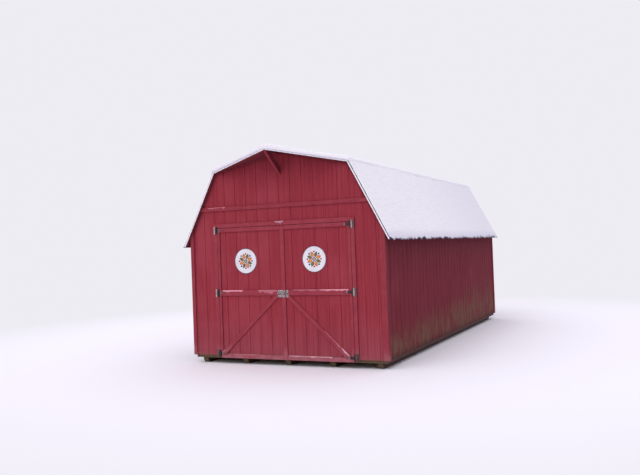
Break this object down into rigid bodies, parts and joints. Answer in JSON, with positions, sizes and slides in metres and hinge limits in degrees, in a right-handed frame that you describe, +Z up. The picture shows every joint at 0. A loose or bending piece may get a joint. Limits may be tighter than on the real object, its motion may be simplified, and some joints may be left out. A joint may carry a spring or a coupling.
{
  "type": "gambrel roof storage shed",
  "caption": "Red wooden storage shed with a gambrel roof, a pointed prow over the gable, strap-hinged double doors and timber runners under a joisted floor.",
  "frame": {"origin": "middle of the bottom face of the middle runner", "axes": "+X right along the front wall seen from outside, +Y from the front wall to the back wall, +Z up"},
  "size_m": [3.6942, 7.855, 3.4125],
  "materials": {
    "red_siding": "red stained grooved plywood siding",
    "red_trim": "red painted boards",
    "framing_lumber": "bare softwood",
    "treated_lumber": "treated timber, damp and dark",
    "floor_plywood": "bare plywood",
    "roof_sheathing": "strand board and plywood",
    "shingles": "dark mineral shingles",
    "white_metal": "white painted metal edge",
    "weathered_steel": "weathered steel, partly painted over",
    "sign_face": "white painted round sign",
    "galvanised_steel": "dull galvanised steel"
  },
  "bodies": {
    "building": {"runners": "treated_lumber", "rim_joists": "treated_lumber", "floor_joists": "treated_lumber", "floor_deck": "floor_plywood", "left_wall": "red_siding", "right_wall": "red_siding", "back_wall": "red_siding", "back_gable": "red_siding", "front_wall_left": "red_siding", "front_wall_right": "red_siding", "front_wall_over_doors": "red_siding", "front_gable": "red_siding", "side_wall_studs": "framing_lumber", "wall_plates": "framing_lumber", "end_wall_studs": "framing_lumber", "door_header": "framing_lumber", "lower_rafters": "framing_lumber", "upper_rafters": "framing_lumber", "rafter_gussets": "roof_sheathing", "ridge_board": "red_trim", "prow_brace": "red_trim", "lower_roof_deck": "roof_sheathing", "upper_roof_deck": "roof_sheathing", "lower_shingles": "shingles", "upper_shingles": "shingles", "ridge_cap": "shingles", "front_drip_edge": "white_metal", "back_drip_edge": "white_metal", "corner_boards": "red_trim", "doorway_trim": "red_trim", "gable_trim": "red_trim", "hinge_plates": "weathered_steel"},
    "left_door": {"left_door_panel": "red_siding", "left_door_frame": "framing_lumber", "left_door_trim": "red_trim", "left_door_straps": "weathered_steel", "left_door_sign": "sign_face", "latch_bolt": "galvanised_steel"},
    "right_door": {"right_door_panel": "red_siding", "right_door_frame": "framing_lumber", "right_door_trim": "red_trim", "right_door_straps": "weathered_steel", "right_door_sign": "sign_face", "latch_keeper": "galvanised_steel"}
  },
  "joints": [
    {"name": "left_door_hinge", "type": "hinge", "parent": "building", "child": "left_door", "pos_m": [-1.204, -3.6855, 1.16], "axis": [0, 0, -1], "range_deg": [0, 175]},
    {"name": "right_door_hinge", "type": "hinge", "parent": "building", "child": "right_door", "pos_m": [1.188, -3.6855, 1.16], "axis": [0, 0, 1], "range_deg": [0, 175]}
  ]
}
